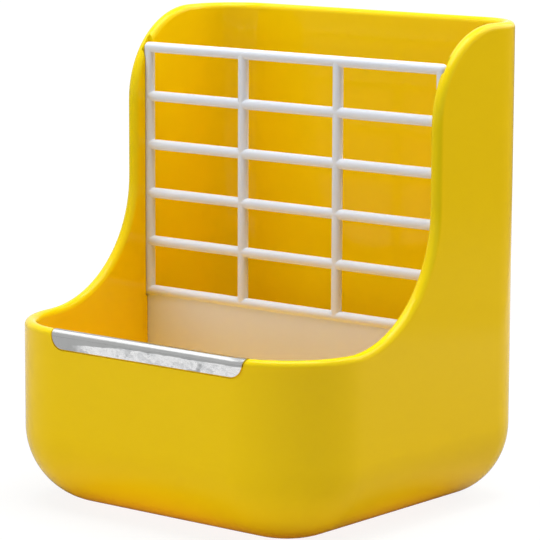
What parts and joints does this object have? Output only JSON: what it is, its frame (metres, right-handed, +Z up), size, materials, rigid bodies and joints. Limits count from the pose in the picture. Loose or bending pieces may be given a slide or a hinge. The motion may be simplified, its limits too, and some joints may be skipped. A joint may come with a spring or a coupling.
{
  "type": "hay feeder box",
  "caption": "Rounded tub with a food tray in front and a tall hay bin behind a lift-out barred grille, a metal guard on the front lip and wing-nut bolts on the back for cage mounting.",
  "frame": {"origin": "centre of the footprint, on the flat base that the feeder stands on", "axes": "+X to the right seen from the front, +Y from the front lip to the back wall, +Z up"},
  "size_m": [0.1576, 0.1687, 0.1896],
  "materials": {
    "yellow_plastic": "glossy injection-moulded plastic, yellow",
    "white_plastic": "satin moulded plastic, white",
    "steel": "bright folded sheet",
    "fixing_plastic": "satin moulded nylon, white"
  },
  "bodies": {
    "feeder": {"feeder_box": "yellow_plastic", "lip_guard": "steel", "cage_bolts": "fixing_plastic"},
    "grille": {"grille": "white_plastic"},
    "clamp_washer_left": {"clamp_washer_left": "fixing_plastic"},
    "clamp_washer_right": {"clamp_washer_right": "fixing_plastic"},
    "wing_nut_left": {"wing_nut_left": "fixing_plastic"},
    "wing_nut_right": {"wing_nut_right": "fixing_plastic"}
  },
  "joints": [
    {"name": "grille_lift", "type": "slide", "parent": "feeder", "child": "grille", "axis": [0, 0, 1], "range_m": [0, 0.175]},
    {"name": "clamp_slide_left", "type": "slide", "parent": "feeder", "child": "clamp_washer_left", "axis": [0, 1, 0], "range_m": [0, 0.01]},
    {"name": "wing_nut_spin_left", "type": "hinge", "parent": "clamp_washer_left", "child": "wing_nut_left", "pos_m": [-0.035, 0.0765, 0.052], "axis": [0, 1, 0], "range_deg": [0, 1440]},
    {"name": "clamp_slide_right", "type": "slide", "parent": "feeder", "child": "clamp_washer_right", "axis": [0, 1, 0], "range_m": [0, 0.01]},
    {"name": "wing_nut_spin_right", "type": "hinge", "parent": "clamp_washer_right", "child": "wing_nut_right", "pos_m": [0.035, 0.0765, 0.052], "axis": [0, 1, 0], "range_deg": [0, 1440]}
  ],
  "couplings": [
    {"joint": "clamp_slide_left", "follows": "wing_nut_spin_left", "m_per_rad": 0.00039789},
    {"joint": "clamp_slide_right", "follows": "wing_nut_spin_right", "m_per_rad": 0.00039789}
  ]
}
